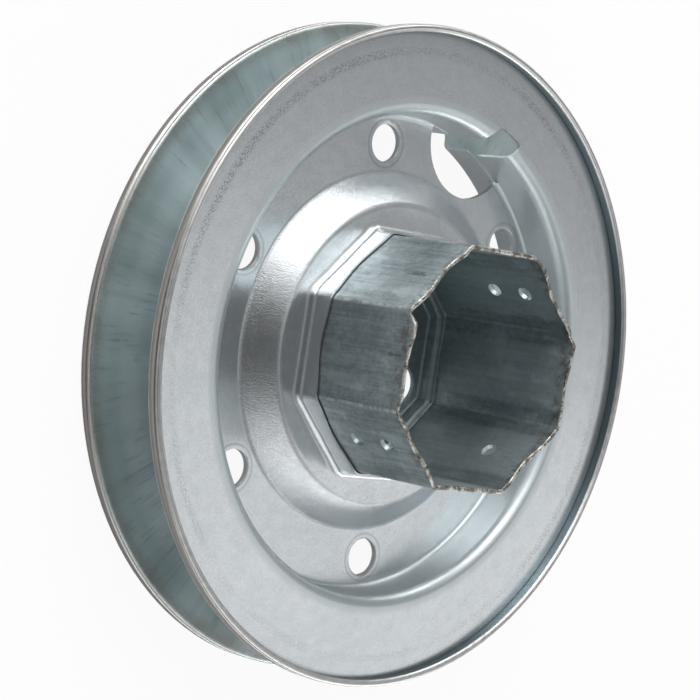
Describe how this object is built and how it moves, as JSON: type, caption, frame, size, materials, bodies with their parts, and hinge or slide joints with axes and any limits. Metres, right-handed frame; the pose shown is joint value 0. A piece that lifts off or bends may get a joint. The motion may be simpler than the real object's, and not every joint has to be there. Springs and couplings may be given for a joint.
{
  "type": "roller shutter strap pulley",
  "caption": "Pressed steel belt pulley for a roller shutter: hemmed flanged discs around a deep-drawn octagonal socket, with a strap hole and slot.",
  "frame": {"origin": "on the pulley's axis, in the plane of the rear disc's rim on which it stands", "axes": "+Z along the axis from the rear rim towards the socket's mouth; +X through the middle of one flat of the octagonal socket"},
  "size_m": [0.1656, 0.1656, 0.0545],
  "materials": {
    "disc_front": "galvanised, satin",
    "disc_rear": "galvanised, satin",
    "socket": "galvanised, darker, with drawing marks"
  },
  "bodies": {
    "root": {"front_disc": "disc_front", "rear_disc": "disc_rear", "octagonal_socket": "socket"}
  },
  "joints": []
}
